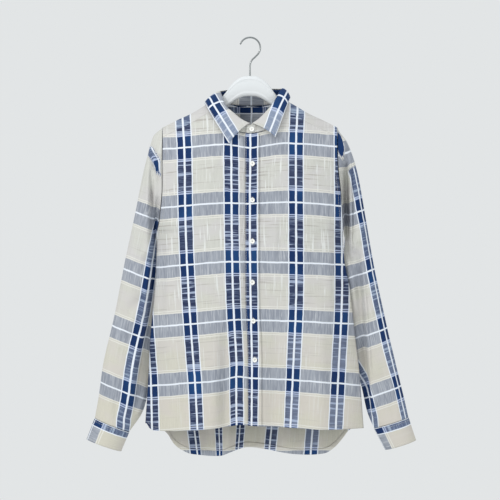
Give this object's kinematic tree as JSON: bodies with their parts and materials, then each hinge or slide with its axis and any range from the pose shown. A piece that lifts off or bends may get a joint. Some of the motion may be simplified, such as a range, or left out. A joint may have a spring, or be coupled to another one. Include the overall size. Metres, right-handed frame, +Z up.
{
  "type": "checked shirt on a hanger",
  "caption": "Long-sleeved checked shirt, buttoned up and hanging open at neck, hem and cuffs on a broad moulded hanger with a wire hook.",
  "frame": {"origin": "inside top of the hanger's hook, where a rail carries it", "axes": "+Z up, the shirt's front faces -Y, the wearer's right side is at -X"},
  "size_m": [0.6847, 0.117, 0.8704],
  "materials": {
    "checked_cloth": "soft matt plain weave, yarn-dyed beige ground with blue, grey and white bands",
    "button_resin": "milky white resin, satin gloss",
    "hanger_plastic": "white, moulded, satin",
    "hook_steel": "plated bent wire"
  },
  "bodies": {
    "root": {"right_front": "checked_cloth", "left_front": "checked_cloth", "front_band": "checked_cloth", "back": "checked_cloth", "yoke": "checked_cloth", "collar_stand": "checked_cloth", "collar": "checked_cloth", "right_sleeve": "checked_cloth", "left_sleeve": "checked_cloth", "right_cuff": "checked_cloth", "left_cuff": "checked_cloth", "button_stand": "button_resin", "button_1": "button_resin", "button_2": "button_resin", "button_3": "button_resin", "button_4": "button_resin", "button_5": "button_resin", "button_6": "button_resin", "button_cuff_right": "button_resin", "button_cuff_left": "button_resin", "hanger_body": "hanger_plastic", "hanger_hook": "hook_steel"}
  },
  "joints": []
}
